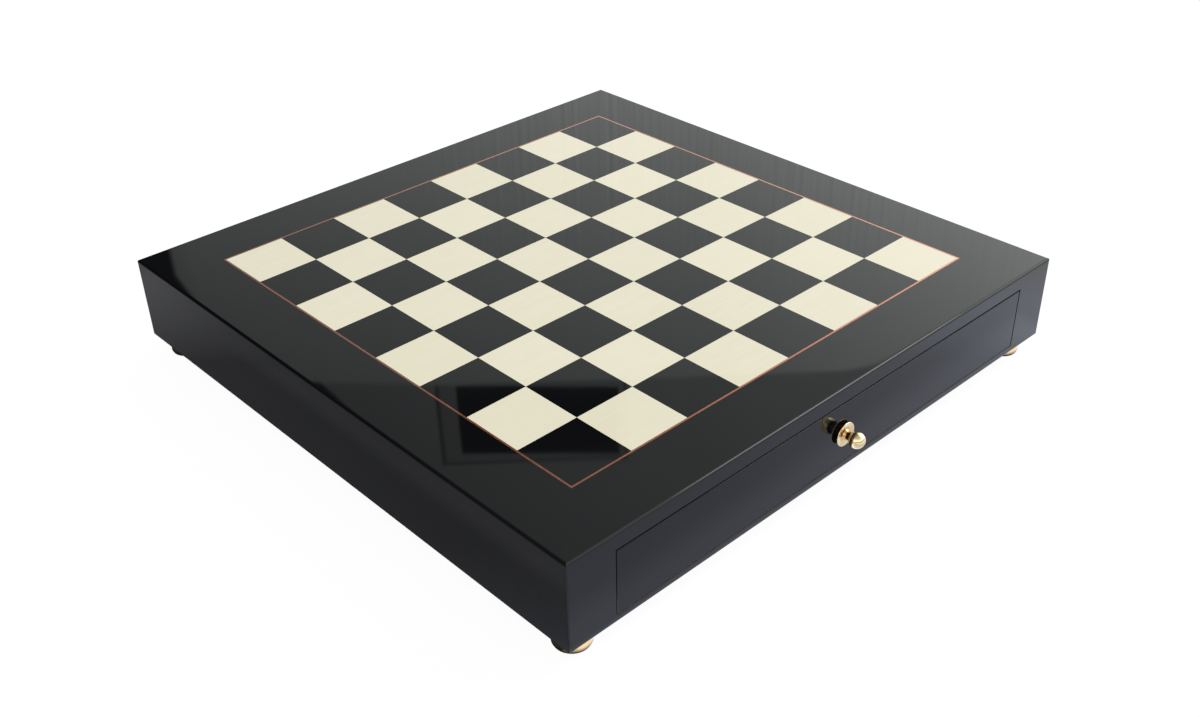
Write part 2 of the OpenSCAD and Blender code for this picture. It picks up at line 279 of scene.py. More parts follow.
def black_lacquer(name, gloss=CASE_GLOSS, satin_start=SATIN_START, mitred=False):
    """Black lacquer on veneer. A mitred one shows the fine joints on the board's diagonals."""
    material, shader, surface = new_material(name)
    place = shader.place()
    grain = shader.noise(shader.stretch(place, (40.0, 600.0, 600.0)), 1.0, 3.0)
    colour = shader.mix(grain, rgb(0.0024, 0.0025, 0.0031), rgb(0.0041, 0.0043, 0.0052))
    satin = satin_share(shader, place, satin_start)
    colour = shader.mix(satin, colour, SATIN_BLACK)
    sill = sill_share(shader, place)
    colour = shader.mix(sill, colour, shader.mix(grain, *STAINED_WOOD))
    if mitred:
        x, y, z = shader.parts(place)
        off = shader.math("SUBTRACT", shader.math("ABSOLUTE", x), shader.math("ABSOLUTE", y))
        joint = shader.span(shader.math("ABSOLUTE", off), 0.0, MITRE_HALF, 1.0, 0.0)
        colour = shader.mix(joint, colour, MITRE_GREY)
    shader.put(surface["Base Color"], colour)
    roughness = shader.blend(satin, lacquer_roughness(shader, place), SATIN_ROUGHNESS)
    shader.put(surface["Roughness"], shader.blend(sill, roughness, SILL_ROUGHNESS))
    shader.put(surface["Normal"], lacquer_normal(shader, place))
    surface["IOR"].default_value = LACQUER_IOR
    surface["Specular IOR Level"].default_value = gloss
    return material


def ivory_veneer():
    """Pale veneer whose tone differs a little from square to square."""
    material, shader, surface = new_material("ivory_veneer_lacquered")
    place = shader.place()
    cell = shader.vector("FLOOR", shader.stretch(place, (1 / square_side, 1 / square_side, 1.0)))
    tone = shader.add("TexWhiteNoise", {"Vector": cell}, noise_dimensions="3D").outputs[0]
    offset = shader.vector("ADD", place, cell)
    mottle = shader.noise(offset, 60.0, 4.0, 0.6)
    figure = shader.noise(shader.stretch(offset, (30.0, 420.0, 30.0)), 1.0, 3.0)
    base = shader.mix(tone, rgb(0.765, 0.725, 0.555), rgb(0.79, 0.755, 0.585))
    worn = shader.mix(shader.span(mottle, 0.35, 0.75, 0.0, 0.3), base, rgb(0.745, 0.70, 0.52))
    colour = shader.mix(shader.span(figure, 0.4, 0.7, 0.0, 0.3), worn, rgb(0.82, 0.79, 0.635))
    shader.put(surface["Base Color"], colour)
    shader.put(surface["Roughness"], lacquer_roughness(shader, place))
    shader.put(surface["Normal"], lacquer_normal(shader, place))
    surface["IOR"].default_value = LACQUER_IOR
    return material


def copper_inlay():
    """Thin copper strip under the board's lacquer."""
    material, shader, surface = new_material("copper_inlay_lacquered")
    place = shader.place()
    grain = shader.noise(place, 300.0, 3.0)
    colour = shader.mix(grain, rgb(0.45, 0.14, 0.065), rgb(0.58, 0.195, 0.095))
    shader.put(surface["Base Color"], colour)
    surface["Metallic"].default_value = 1.0
    shader.put(surface["Roughness"], shader.span(grain, *NOISE_SPAN, 0.16, 0.26))
    shader.put(surface["Normal"], lacquer_normal(shader, place))
    surface["Coat Weight"].default_value = 1.0
    surface["Coat Roughness"].default_value = 0.03
    return material


# ---- Metal ----

# Painted shade on the knob: warm in its hollow, and dark on the ball's back, which is full up to the second
# of the next two distances
HOLLOW_REACH = 6.5 * MM  # from the knob's axis
NECK_REACH = 3.4 * MM
HOLLOW_DEPTH = 4.5 * MM  # from the drawer front, up to the neck
BALL_SHADE_ENDS_AT = 10.5 * MM  # from the drawer front, on the ball
BALL_SHADE_FULL_UP_TO = 8 * MM
# Painted shade on the feet: warm just below the case, and dark by the floor
FOOT_WARM_SHADE_REACH = 4 * MM  # below the case
FOOT_SHADE_TOP = 4.5 * MM  # above the floor
FOOT_SHADE_FULL = 1.8 * MM
KNOB_BRASS = (rgb(1.0, 0.80, 0.47), rgb(0.92, 0.66, 0.33))  # bright metal, and where it is tarnished
FOOT_BRASS = (rgb(0.96, 0.71, 0.35), rgb(0.87, 0.59, 0.26))
# Colours of the brass's painted shade, warm and dark
PAINTED_WARM_SHADE = rgb(0.78, 0.43, 0.16)
PAINTED_DARK_SHADE = rgb(0.10, 0.065, 0.035)
RING_DEPTH = 0.0015 * MM


def knob_turning(shader):
    """Distances from the knob's axis and along it."""
    x, y, z = shader.parts(shader.place())
    radius = shader.length(x, shader.math("SUBTRACT", z, knob_height))
    return radius, shader.math("ABSOLUTE", y)


def foot_turning(shader):
    """Distances from the nearest foot's axis and along it."""
    x, y, z = shader.parts(shader.place())
    aside = shader.math("SUBTRACT", shader.math("ABSOLUTE", x), foot_place)
    ahead = shader.math("SUBTRACT", shader.math("ABSOLUTE", y), foot_place)
    return shader.length(aside, ahead), z


def knob_painted_shade(shader, radius, along):
    """Shares of painted warm shade, in the hollow by the neck, and of painted dark shade, behind the ball's
    middle.
    """
    behind = shader.math("LESS_THAN", along, case_half + HOLLOW_DEPTH)
    hollow_shade = shader.math("MULTIPLY", shader.span(radius, HOLLOW_REACH, NECK_REACH), behind)
    before = shader.math("SUBTRACT", 1.0, behind)
    dark_shade = shader.span(along, case_half + BALL_SHADE_ENDS_AT, case_half + BALL_SHADE_FULL_UP_TO)
    return hollow_shade, shader.math("MULTIPLY", dark_shade, before)


def foot_painted_shade(shader, radius, along):
    """Shares of painted warm shade, by the case, and of painted dark shade, by the floor."""
    warm_shade = shader.span(along, case_bottom - FOOT_WARM_SHADE_REACH, case_bottom)
    return warm_shade, shader.span(along, FOOT_SHADE_TOP, FOOT_SHADE_FULL)


def brass(name, turning, painted_shade_shares, bright, deep):
    """Polished brass with the lathe's fine rings and a little tarnish, and warm and dark painted shade where
    the given shares put it.
    """
    material, shader, surface = new_material(name)
    radius, along = turning(shader)
    tarnish = shader.noise(shader.place(), 160.0, 4.0, 0.6)
    colour = shader.mix(shader.span(tarnish, 0.5, 0.8), bright, deep)
    warm_shade, dark_shade = painted_shade_shares(shader, radius, along)
    # Painted shade: warm, then dark
    colour = shader.mix(warm_shade, colour, PAINTED_WARM_SHADE)
    colour = shader.mix(dark_shade, colour, PAINTED_DARK_SHADE)
    shader.put(surface["Base Color"], colour)
    surface["Metallic"].default_value = 1.0
    rings = shader.noise(shader.join(radius, along, 0.0), 3000.0, 2.0)
    shader.put(surface["Roughness"], shader.span(rings, 0.35, 0.75, 0.05, 0.12))
    shader.put(surface["Normal"], shader.bump(rings, RING_DEPTH))
    return material


SPOT_DEPTH = 0.01 * MM
RECESS_HALF = 0.4 * MM
RECESS_REACH = 1.8 * MM
RECESS_DEPTH = 0.4 * MM
RECESS_PAINTED_SHADE = rgb(0.04, 0.04, 0.045)


def steel(name, recessed=False):
    """Zinc-plated steel. A recessed one has a cross in the knob screws' heads, with painted shade in it."""
    material, shader, surface = new_material(name)
    place = shader.place()
    spots = shader.noise(place, 500.0, 4.0, 0.6)
    colour = shader.mix(spots, rgb(0.52, 0.53, 0.55), rgb(0.68, 0.69, 0.71))
    normal = shader.bump(spots, SPOT_DEPTH)
    if recessed:
        x, y, z = shader.parts(place)
        aside = shader.math("ABSOLUTE", x)
        above = shader.math("ABSOLUTE", shader.math("SUBTRACT", z, knob_height))
        narrow = shader.math("LESS_THAN", shader.math("MINIMUM", aside, above), RECESS_HALF)
        near = shader.math("LESS_THAN", shader.length(aside, above), RECESS_REACH)
        cross = shader.math("MULTIPLY", narrow, near)
        # Painted shade in the cross recess
        colour = shader.mix(cross, colour, RECESS_PAINTED_SHADE)
        normal = shader.bump(shader.math("SUBTRACT", 1.0, cross), RECESS_DEPTH, normal)
    shader.put(surface["Base Color"], colour)
    surface["Metallic"].default_value = 1.0
    shader.put(surface["Roughness"], shader.span(spots, *NOISE_SPAN, 0.22, 0.42))
    shader.put(surface["Normal"], normal)
    return material


# ---- Plain wood ----

THIN_BOARD = 5 * MM  # boards thinner than this have three plies, and the others five
HALF_PLY = 0.49  # a hair under half a ply, which keeps a board's faces within its outer plies
GRAIN_ALONG = 14.0
GRAIN_ACROSS = 420.0
GRAIN_DEPTH = 0.04 * MM
FLECK_DEPTH = 0.03 * MM


def grain_scale(axis):
    """Scales of a noise that is drawn out along the axis."""
    scale = [GRAIN_ACROSS] * 3
    scale[axis] = GRAIN_ALONG
    return scale


def birch_ply(name, axis, middle, thickness, grain_axis, pitch=None):
    """Plywood whose plies lie across the axis, with its face grain along another. Its edges show the plies.

    The middle is the board's distance from the frame's middle, on both sides of it. A pitch stands for
    several boards that are that far apart.
    """
    material, shader, surface = new_material(name)
    place = shader.place()
    across = shader.math("ABSOLUTE", shader.parts(place)[axis])
    if pitch is None:
        away = shader.math("ABSOLUTE", shader.math("SUBTRACT", across, middle))
    else:
        away = shader.math("PINGPONG", across, pitch / 2)
    plies = 3 if thickness < THIN_BOARD else 5
    count = shader.math("MULTIPLY_ADD", away, plies / thickness, HALF_PLY)
    count = shader.math("FLOOR", count)
    crossed = shader.math("PINGPONG", shader.math("ADD", count, (plies - 1) / 2), 1.0)
    third_axis = X + Y + Z - axis - grain_axis
    face_grain = shader.noise(shader.stretch(place, grain_scale(grain_axis)), 1.0, 4.0, 0.6)
    core_grain = shader.noise(shader.stretch(place, grain_scale(third_axis)), 1.0, 4.0, 0.6)
    light = shader.mix(face_grain, rgb(0.64, 0.47, 0.29), rgb(0.80, 0.65, 0.45))
    dark = shader.mix(core_grain, rgb(0.40, 0.25, 0.13), rgb(0.56, 0.39, 0.22))
    shader.put(surface["Base Color"], shader.mix(crossed, light, dark))
    shader.put(surface["Roughness"], shader.span(face_grain, *NOISE_SPAN, 0.42, 0.58))
    shader.put(surface["Normal"], shader.bump(face_grain, GRAIN_DEPTH))
    return material


def ply_of(node):
    """Plywood for a CAD node, from the thickness, place and length of its board."""
    low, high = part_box(node)
    size = high - low
    if node.endswith("cross_partitions"):
        return birch_ply(node + "_ply", X, 0.0, partition_t, Y, partition_pitch)
    axis = min((X, Y, Z), key=lambda i: size[i])
    grain_axis = max((X, Y, Z), key=lambda i: size[i])
    return birch_ply(node + "_ply", axis, abs(low[axis] + high[axis]) / 2, size[axis], grain_axis)


def beech():
    material, shader, surface = new_material("beech_waxed")
    place = shader.place()
    grain = shader.noise(shader.stretch(place, (300.0, 20.0, 300.0)), 1.0, 4.0, 0.6)
    flecks = shader.noise(shader.stretch(place, (900.0, 150.0, 900.0)), 1.0, 2.0)
    wood = shader.mix(grain, rgb(0.50, 0.30, 0.15), rgb(0.66, 0.44, 0.25))
    colour = shader.mix(shader.span(flecks, 0.62, 0.75), wood, rgb(0.36, 0.19, 0.09))
    shader.put(surface["Base Color"], colour)
    shader.put(surface["Roughness"], shader.span(grain, *NOISE_SPAN, 0.40, 0.55))
    shader.put(surface["Normal"], shader.bump(flecks, FLECK_DEPTH))
    return material


# ---- Felt ----

GREEN_FELT = (rgb(0.004, 0.022, 0.012), rgb(0.02, 0.09, 0.05))
DARK_FELT = (rgb(0.006, 0.005, 0.004), rgb(0.04, 0.033, 0.028))
FIBRE_DEPTH = 0.3 * MM


def felt(name, dark, light):
    """Felt of fine fibres between a dark and a light colour, in loose clumps."""
    material, shader, surface = new_material(name)
    place = shader.place()
    fibres = shader.noise(place, 1500.0, 3.0, 0.7)
    clumps = shader.noise(place, 90.0, 4.0, 0.6)
    share = shader.math("MULTIPLY", fibres, shader.span(clumps, 0.2, 0.8, 0.6, 1.3))
    shader.put(surface["Base Color"], shader.mix(share, dark, light))
    surface["Roughness"].default_value = 0.95
    surface["Sheen Weight"].default_value = 0.35
    surface["Sheen Roughness"].default_value = 0.45
    surface["Specular IOR Level"].default_value = 0.15
    shader.put(surface["Normal"], shader.bump(fibres, FIBRE_DEPTH))
    return material


LINING_STEPS = 8  # facets across a compartment
LINING_WAVE = 0.12 * MM  # height of the lining's waves
PRESS_DEPTH = 0.3 * MM  # depth of the groove that a partition presses
PRESS_REACH = 2.5 * MM  # reach of that groove beyond the partition
EDGE_ROUND = 0.35 * MM
WAVE_SCALE = 45.0


def stations(low, high, lines):
    """Places from low to high: the edges, the partitions' lines with their grooves, and steps between."""
    half = partition_t / 2
    places = [low, low + EDGE_ROUND]
    for line in lines + [None]:
        start = places[-1]
        end = high - EDGE_ROUND if line is None else line - half - PRESS_REACH
        for step in range(1, LINING_STEPS + 1):
            places.append(start + (end - start) * step / LINING_STEPS)
        if line is not None:
            places += [line - half, line, line + half, line + half + PRESS_REACH]
    return places + [high]


def press(at, lines):
    """1 under a partition, falling to 0 beside it."""
    nearest = min(abs(at - line) for line in lines)
    share = 1 - (nearest - partition_t / 2) / PRESS_REACH
    return max(0.0, min(1.0, share))


def lining_mesh(name, drawer):
    """Closed sheet of felt, wavy by a hair, pressed in under the partitions and soft at its edges."""
    low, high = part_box(drawer + "_drawer_lining")
    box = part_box(drawer + "_drawer_long_partition")
    columns = [(i - CROSS_PARTITIONS // 2) * partition_pitch for i in range(CROSS_PARTITIONS)]
    rows = [(box[0].y + box[1].y) / 2]
    across = stations(low.x, high.x, columns)
    along = stations(low.y, high.y, rows)
    vertices = []
    for level in (low.z, high.z):
        for y in along:
            for x in across:
                drop = 0.0
                if level == high.z:
                    wave = 0.5 + 0.5 * noise.noise(Vector((x, y, 0.0)) * WAVE_SCALE)
                    pressed = max(press(x, columns), press(y, rows))
                    at_edge = x in (low.x, high.x) or y in (low.y, high.y)
                    drop = LINING_WAVE * wave + PRESS_DEPTH * pressed + EDGE_ROUND * at_edge
                vertices.append((x, y, level - drop))
    width = len(across)
    layer = width * len(along)
    faces = []
    for row in range(len(along) - 1):
        for column in range(width - 1):
            corner = row * width + column
            quad = (corner, corner + 1, corner + width + 1, corner + width)
            faces.append(tuple(reversed(quad)))
            faces.append(tuple(layer + index for index in quad))
    rim = list(range(width))
    rim += [row * width + width - 1 for row in range(1, len(along))]
    rim += [layer - 1 - column for column in range(1, width)]
    rim += [row * width for row in range(len(along) - 2, 0, -1)]
    for first, second in zip(rim, rim[1:] + rim[:1]):
        faces.append((first, second, layer + second, layer + first))
    mesh = bpy.data.meshes.new(name)
    mesh.from_pydata(vertices, [], faces)
    return mesh


PAD_SEGMENTS = 96
PAD_ROUND = 0.3 * MM
PAD_FUZZ = 0.15 * MM
FUZZ_SCALE = 900.0


def pad_mesh(name, corner):
    """Disc of felt with soft edges, cut a little unevenly."""
    low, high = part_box(corner + "_foot_pad")
    middle = (low + high) / 2
    radius = (high.x - low.x) / 2
    rings = (
        (radius - PAD_ROUND, low.z), (radius, low.z + PAD_ROUND),
        (radius, high.z - PAD_ROUND), (radius - PAD_ROUND, high.z),
    )
    vertices = []
    for reach, z in rings:
        for segment in range(PAD_SEGMENTS):
            turn = 2 * math.pi * segment / PAD_SEGMENTS
            outward = Vector((math.cos(turn), math.sin(turn), 0.0))
            fuzz = 0.5 + 0.5 * noise.noise((outward * radius + Vector((0.0, 0.0, z))) * FUZZ_SCALE + low)
            edge = middle + outward * (reach - PAD_FUZZ * fuzz)
            vertices.append((edge.x, edge.y, z))
    faces = []
    for ring in range(len(rings) - 1):
        for segment in range(PAD_SEGMENTS):
            following = (segment + 1) % PAD_SEGMENTS
            first = ring * PAD_SEGMENTS
            second = first + PAD_SEGMENTS
            faces.append((first + segment, first + following, second + following, second + segment))
    last = (len(rings) - 1) * PAD_SEGMENTS
    for ring_start, centre_z, turned in ((0, low.z, True), (last, high.z, False)):
        centre = len(vertices)
        vertices.append((middle.x, middle.y, centre_z))
        for segment in range(PAD_SEGMENTS):
            face = (ring_start + segment, ring_start + (segment + 1) % PAD_SEGMENTS, centre)
            faces.append(tuple(reversed(face)) if turned else face)
    mesh = bpy.data.meshes.new(name)
    mesh.from_pydata(vertices, [], faces)
    return mesh


def new_piece(name, mesh, material, body, node):
    """Piece that rides on a body and stands for a CAD node."""
    piece = bpy.data.objects.new(name, mesh)
    bpy.context.scene.collection.objects.link(piece)
    mesh.materials.append(material)
    for polygon in mesh.polygons:
        polygon.use_smooth = True
    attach(piece, body)
    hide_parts(node)
    return piece


def add_lining(drawer, material):
    node = drawer + "_drawer_lining"
    name = drawer + "_felt_lining"
    piece = new_piece(name, lining_mesh(name, drawer), material, drawer + "_drawer", node)


def add_pad(corner, material):
    node = corner + "_foot_pad"
    name = corner + "_felt_pad"
    piece = new_piece(name, pad_mesh(name, corner), material, "case", node)


# ---- CAD nodes: smooth shading and finish ----

SMOOTH_ANGLE = math.radians(35)
WELD = 0.001 * MM
FLAT_FACE_WEIGHT = 100  # 50 is neutral, and more favours the larger faces


def smoothing_group():
    """Geometry nodes that weld a CAD mesh and shade it smooth, apart from its sharp edges."""
    group = bpy.data.node_groups.new("weld_and_smooth", "GeometryNodeTree")
    group.interface.new_socket("Geometry", in_out="INPUT", socket_type="NodeSocketGeometry")
    group.interface.new_socket("Geometry", in_out="OUTPUT", socket_type="NodeSocketGeometry")
    add = group.nodes.new
    link = group.links.new
    start = add("NodeGroupInput")
    end = add("NodeGroupOutput")
    bare = add("GeometryNodeRemoveAttribute")
    bare.inputs["Name"].default_value = "custom_normal"
    weld = add("GeometryNodeMergeByDistance")
    weld.inputs["Distance"].default_value = WELD
    faces = add("GeometryNodeSetShadeSmooth")
    faces.domain = "FACE"
    faces.inputs["Shade Smooth"].default_value = True
    edges = add("GeometryNodeSetShadeSmooth")
    edges.domain = "EDGE"
    edges.inputs["Shade Smooth"].default_value = False
    angle = add("GeometryNodeInputMeshEdgeAngle")
    sharp = add("FunctionNodeCompare")
    sharp.data_type = "FLOAT"
    sharp.operation = "GREATER_THAN"
    sharp.inputs[1].default_value = SMOOTH_ANGLE
    link(start.outputs[0], bare.inputs["Geometry"])
    link(bare.outputs["Geometry"], weld.inputs["Geometry"])
    link(weld.outputs["Geometry"], faces.inputs["Geometry"])
    link(faces.outputs["Geometry"], edges.inputs["Geometry"])
    link(angle.outputs["Unsigned Angle"], sharp.inputs[0])
    link(sharp.outputs["Result"], edges.inputs["Selection"])
    link(edges.outputs["Geometry"], end.inputs[0])
    return group


def finish_node(name, material, smoothing):
    node = frame["nodes"][name]
    node.material_slots[0].material = material
    node.modifiers.new("weld_and_smooth", "NODES").node_group = smoothing
    weighted = node.modifiers.new("flat_faces_stay_flat", "WEIGHTED_NORMAL")
    weighted.keep_sharp = True
    weighted.weight = FLAT_FACE_WEIGHT


def materials_by_node():
    """Materials of the CAD nodes that don't take their slot's one."""
    drawer_front = black_lacquer("black_lacquer_drawer_front", DRAWER_GLOSS, DRAWER_SATIN_START)
    border = black_lacquer("black_lacquer_mitred", mitred=True)
    knob = brass("brass_turned_knob", knob_turning, knob_painted_shade, *KNOB_BRASS)
    foot = brass("brass_turned_foot", foot_turning, foot_painted_shade, *FOOT_BRASS)
    knob_screw = steel("steel_cross_recess", recessed=True)
    by_node = {}
    for drawer in DRAWERS:
        by_node[drawer + "_drawer_face"] = drawer_front
        by_node[drawer + "_knob"] = knob
        by_node[drawer + "_knob_screw"] = knob_screw
    for side in SIDES:
        by_node[side + "_border"] = border
    for corner in CORNERS:
        by_node[corner + "_foot"] = foot
    return by_node


def finish_nodes():
    """Gives every CAD node its material, apart from the felt ones, which scene pieces stand for."""
    by_slot = {
        "black_lacquer": black_lacquer("black_lacquer_gloss"),
        "ivory_veneer": ivory_veneer(),
        "copper_inlay": copper_inlay(),
        "steel": steel("steel_zinc_plated"),
        "beech": beech(),
    }
    by_node = materials_by_node()
    slots = {part["node"]: part["material_slot"] for part in frame["record"]["subparts"]}
    smoothing = smoothing_group()
    for name in sorted(frame["nodes"]):
        if name in by_node:
            finish_node(name, by_node[name], smoothing)
        elif slots[name] == "birch_ply":
            finish_node(name, ply_of(name), smoothing)
        elif slots[name] in by_slot:
            finish_node(name, by_slot[slots[name]], smoothing)


# ---- Floor ----

FLOOR_SIZE = 12.0
FLOOR_SEEN = 0.92  # share of the white glow in the floor, as the camera sees it
FLOOR_GLOW = 1.04
PAPER = rgb(0.86, 0.87, 0.89)
WHITE = rgb(1.0, 1.0, 1.0)

# Tone of the floor beside the case, as gloss and glass see it, by x - y in metres: painted shade of the
# case, apart from the lamp's side. Further off it is white at the right and painted dark at the left.
FLOOR_TONES = (
    (-0.66, 0.46), (-0.56, 0.31), (-0.47, 0.15), (-0.34, 0.155), (-0.16, 0.175), (-0.08, 0.23),
    (-0.04, 0.27), (0.03, 0.62), (0.24, 0.62), (0.42, 0.71), (0.48, 0.80), (0.53, 1.02), (0.60, 1.17),
)
FLOOR_TONES_REACH = 0.7
FLOOR_TONE_LIMIT = 1.2
TINT_TURN = (-0.15, 0.0)  # x - y between which the floor's tint goes from the left one to the front one
LEFT_TINT = rgb(0.93, 0.94, 1.0)
FRONT_TINT = rgb(0.80, 0.84, 0.98)  # as a share of its level
FRONT_TINT_LEVEL = 1.17
SHADE_START = 50 * MM  # distance in front of the case at which its shade begins to end
SHADE_END = 350 * MM
SHADE_ASIDE = 2.0  # how much sooner the shade ends at the sides
FAR_DARK_TO_WHITE = (-0.30, 0.05)  # x - y between which the floor far from the case goes from dark to white
FAR_DARK = rgb(0.12, 0.12, 0.12)
# Painted light and shade beside the walls: a brighter strip, a brighter rise at the left, a corner tone, and
# dark and light by the feet
STRIP_EDGE = 34 * MM  # reach of the strip before the front and right walls that is a little brighter
STRIP_BLUR = 14 * MM
STRIP_TONE = 1.25
RISE_EDGE = 44 * MM  # distance beside the left wall from which the floor is brighter
RISE_BLUR = 8 * MM
RISE_STARTS = (-0.53, -0.45)  # x - y between which that rise comes, and between which it goes
RISE_ENDS = (-0.14, -0.06)
RISE_TONE = 1.5
CORNER_TONE = 0.9  # floor before the front left corner and the rear right one
CORNER_BLUR = 3 * MM
CORNER_REACH = 0.25
FOOT_EDGE = Vector((6, 12)) * MM  # reach beyond the case, in X and Y, of the floor that only the feet mirror
FOOT_BLUR = 2 * MM
FOOT_DARK = 0.03
FOOT_LIGHT = 1.08


def floor_shade(shader, offset, aside, ahead):
    """Painted shade of the case on the floor beside it, by x - y and by the distances from its walls in X
    and in Y.
    """
    shade = shader.ramp(offset, -FLOOR_TONES_REACH, FLOOR_TONES_REACH, FLOOR_TONES, FLOOR_TONE_LIMIT)
    at_right = shader.math("GREATER_THAN", offset, 0.0)
    strip = shader.step(shader.math("MAXIMUM", aside, ahead), STRIP_EDGE, -STRIP_BLUR)
    strip = shader.math("MULTIPLY", strip, at_right)
    shade = shader.math("MULTIPLY", shade, shader.blend(strip, 1.0, STRIP_TONE))
    rise = shader.step(aside, RISE_EDGE, RISE_BLUR)
    rise = shader.math("MULTIPLY", rise, shader.span(offset, *RISE_STARTS))
    rise = shader.math("MULTIPLY", rise, shader.span(offset, *RISE_ENDS, 1.0, 0.0))
    shade = shader.math("MULTIPLY", shade, shader.blend(rise, 1.0, RISE_TONE))
    corner = shader.math(
        "MULTIPLY",
        shader.step(shader.math("MINIMUM", aside, ahead), CORNER_BLUR, CORNER_BLUR),
        shader.math("LESS_THAN", shader.math("ABSOLUTE", offset), CORNER_REACH),
    )
    shade = shader.blend(corner, shade, CORNER_TONE)
    beyond = shader.math(
        "MAXIMUM",
        shader.math("SUBTRACT", aside, FOOT_EDGE.x),
        shader.math("SUBTRACT", ahead, FOOT_EDGE.y),
    )
    by_foot = shader.span(offset, -FOOT_EDGE.y, FOOT_EDGE.y, FOOT_DARK, FOOT_LIGHT)
    return shader.blend(shader.step(beyond, 0.0, FOOT_BLUR), by_foot, shade)


def floor_colour(shader):
    """Colour of the floor as gloss and glass see it: a glowing image with the case's painted shade."""
    x, y, z = shader.parts(shader.place())
    offset = shader.math("SUBTRACT", x, y)
    aside = shader.math("SUBTRACT", shader.math("ABSOLUTE", x), case_half)
    ahead = shader.math("SUBTRACT", shader.math("ABSOLUTE", y), case_half)
    shade = floor_shade(shader, offset, aside, ahead)
    shade = shader.math("MULTIPLY", shade, shader.span(offset, *TINT_TURN, 1.0, FRONT_TINT_LEVEL))
    tint = shader.mix(shader.span(offset, *TINT_TURN), LEFT_TINT, FRONT_TINT)
    shaded = shader.vector("MULTIPLY", shader.join(shade, shade, shade), tint)
    far = shader.mix(shader.span(offset, *FAR_DARK_TO_WHITE), FAR_DARK, WHITE)
    away = shader.math("MAXIMUM", shader.math("MULTIPLY", aside, SHADE_ASIDE), ahead)
    return shader.mix(shader.span(away, SHADE_START, SHADE_END, smooth=True), shaded, far)


def add_floor():
    """Pale paper floor, which the camera sees nearly white and gloss sees as a glowing image with painted
    shade.
    """
    bpy.ops.mesh.primitive_plane_add(size=FLOOR_SIZE)
    floor = bpy.context.object
    floor.name = "floor"
    material = bpy.data.materials.new("floor_paper")
    material.use_nodes = True
    shader = Shader(material.node_tree)
    rays = shader.add("LightPath").outputs
    mirrored = shader.math("ADD", rays["Is Glossy Ray"], rays["Is Transmission Ray"])
    paper = shader.add("BsdfDiffuse", {"Color": PAPER})
    glow = shader.add("Emission", {"Color": WHITE, "Strength": FLOOR_GLOW})
    seen = shader.add("MixShader", {0: shader.math("MULTIPLY", rays["Is Camera Ray"], FLOOR_SEEN)})
    shader.put(seen.inputs[1], paper.outputs[0])
    shader.put(seen.inputs[2], glow.outputs[0])
    # Glowing image of the floor with the case's painted shade, for gloss and glass
    painted_shade_image = shader.add("Emission", {"Color": floor_colour(shader), "Strength": 1.0})
    mixed = shader.add("MixShader", {0: mirrored})
    shader.put(mixed.inputs[1], seen.outputs[0])
    shader.put(mixed.inputs[2], painted_shade_image.outputs[0])
    output = shader.add("OutputMaterial")
    shader.put(output.inputs["Surface"], mixed.outputs[0])
    floor.data.materials.append(material)


# ---- Studio ----

AMBIENT = 0.69
LAMP_DISTANCE = 12.0

# Each lamp's name, its heading and elevation in degrees, its size in metres, its watts and whether gloss and
# metal mirror it
LAMPS = (
    ("glare", 118, 42, 3.2, 170.0, True),
    ("key", 104, 44, 4.5, 590.0, False),
)

# Tone of the studio by heading, in degrees from +Y towards +X, as gloss and glass see it
STUDIO_TONES = (
    (-180, 1.1), (-85, 1.1), (-75, 0.15), (-40, 0.15), (-25, 0.02), (21, 0.02), (23, 0.43), (34, 0.645),
    (42, 0.82), (48, 0.93), (52, 1.15), (56, 1.37), (60, 1.61), (66, 2.1), (90, 3.0), (115, 3.0),
    (135, 2.2), (150, 1.3), (180, 1.1),
)
TONE_LIMIT = 3.2
STUDIO_TINT = rgb(0.983, 1.012, 1.005)
OVERHEAD = (0.60, 0.75)  # sines of the elevations between which even the dark parts come to have some light
OVERHEAD_TONE = 0.20
HORIZON_TOP = 0.15  # sine of the elevation up to which the room behind the camera is dark
HORIZON_BLUR = 0.01
HORIZON_TONE = 0.02
BEHIND = -0.35  # Y of the directions behind the camera

# The backdrop's upright folds, as a share of its tone
FOLDS = (0.9, 1.1)
FOLDS_PER_DEGREE = 5.0
FOLDS_FROM = (33, 38)  # headings between which they come
FOLDS_TOP = (0.50, 0.42)  # sines of the elevations between which they end

# The backdrop, seen along its heading: places across it and up it are shares of its distance
BACKDROP_HEADING = math.radians(41)
LEAST_AHEAD = 0.05  # directions less ahead than that don't meet it
BACKDROP_TOP = 0.6665
BACKDROP_SAG_FROM = -0.10  # place across at whose left its top sinks
BACKDROP_SAG = 0.07
BACKDROP_RIGHT = 0.50  # place across beyond which it has no top
BACKDROP_BEND = (0.245, 0.325)  # places across between which its top bends down
BACKDROP_BOW = 6.0
BACKDROP_FOOT = 0.37  # sine of the elevation up to which the tones don't fall
BACKDROP_LEVEL = 0.47  # sine of the elevation at which the tones above hold
BACKDROP_FALL = 2.0  # how fast they fall with that sine
UPPER_TURN = (0.1, 0.27)  # places across between which the share of the tone above the backdrop falls
UPPER_SHARES = (0.59, 0.47)
DARK_TONE = 0.02
DARK_LEFT = -0.325  # place across at whose left it is dark
DARK_LEAN_START = 0.545  # height from which the edge of the dark left leans to the right
DARK_LEAN = 0.50
SLOPE_START = 0.949  # height of the sloping ceiling's edge in the middle
SLOPE = 1.333
SLOPE_END = 0.02  # place across at which the sloping ceiling ends
EDGE_BLUR = 0.003
HALF_BLUR = EDGE_BLUR / 2

